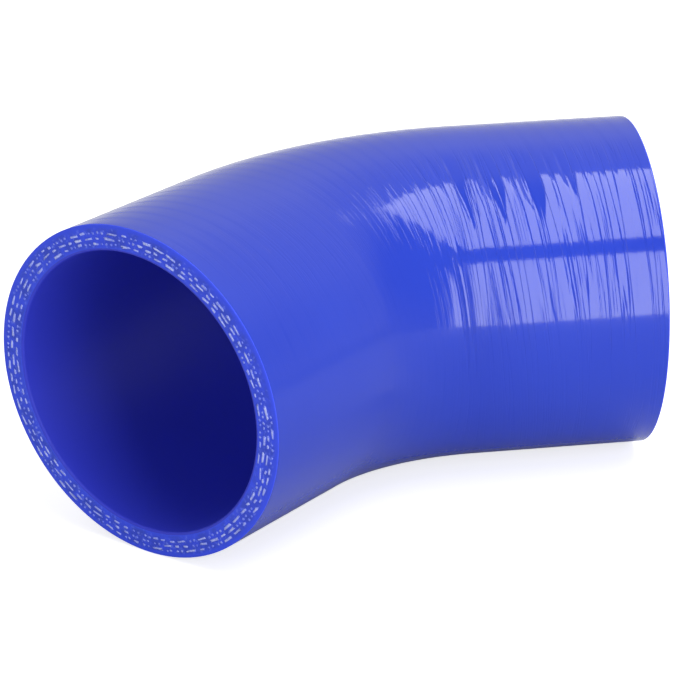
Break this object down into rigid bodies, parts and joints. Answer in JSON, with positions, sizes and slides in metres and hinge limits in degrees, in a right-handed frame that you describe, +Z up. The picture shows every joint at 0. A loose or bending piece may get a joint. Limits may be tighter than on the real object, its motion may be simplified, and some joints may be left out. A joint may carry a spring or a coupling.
{
  "type": "radiator hose",
  "caption": "Moulded elbow hose with a smooth round bore and plain cut ends, for joining two coolant pipe stubs at an angle.",
  "frame": {"origin": "on the ground plane, below the middle of the hose's bounding box", "axes": "+Z up from the ground the hose lies on, +X along the outlet leg and out of its open end, +Y towards the outside of the bend"},
  "size_m": [0.1234, 0.0962, 0.064],
  "materials": {
    "silicone_rubber": "smooth glossy blue silicone rubber with fine tape marks round the outside",
    "reinforcement_yarn": "white yarn ends of the woven plies, stained blue by the rubber, flush with the cut faces"
  },
  "bodies": {
    "root": {"elbow_hose": "silicone_rubber"}
  },
  "joints": []
}
